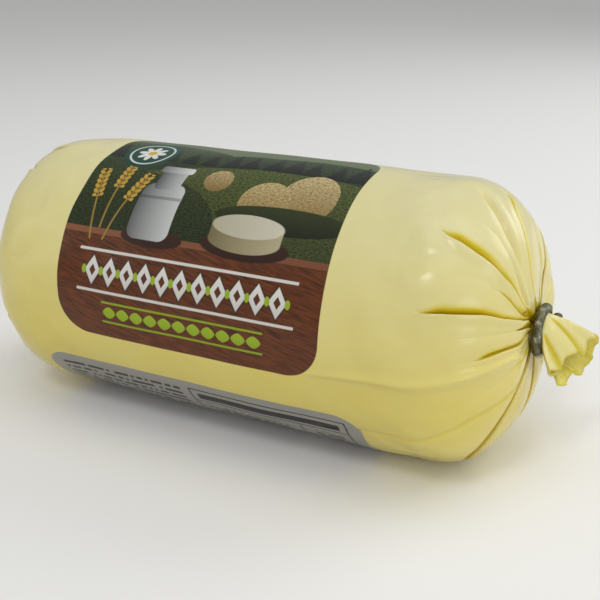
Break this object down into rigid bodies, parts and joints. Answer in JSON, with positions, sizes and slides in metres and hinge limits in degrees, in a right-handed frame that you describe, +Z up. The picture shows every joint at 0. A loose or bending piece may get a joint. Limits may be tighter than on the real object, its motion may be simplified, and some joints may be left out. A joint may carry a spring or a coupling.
{
  "type": "burduf cheese",
  "caption": "Sausage-shaped pack of kneaded burduf cheese: a filled pale yellow film tube, gathered, clipped and ruffled at both ends, lying down.",
  "frame": {"origin": "middle of the footprint of the pack's box, on the surface it lies on", "axes": "+X along the pack towards the end with the more askew clip, +Y away from the printed label's side, +Z up"},
  "size_m": [0.1514, 0.0636, 0.0624],
  "materials": {
    "film": "semi-gloss printed film",
    "clip_wire": "dull drawn wire"
  },
  "bodies": {
    "root": {"filled_casing": "film", "clip_near": "clip_wire", "clip_far": "clip_wire"}
  },
  "joints": []
}
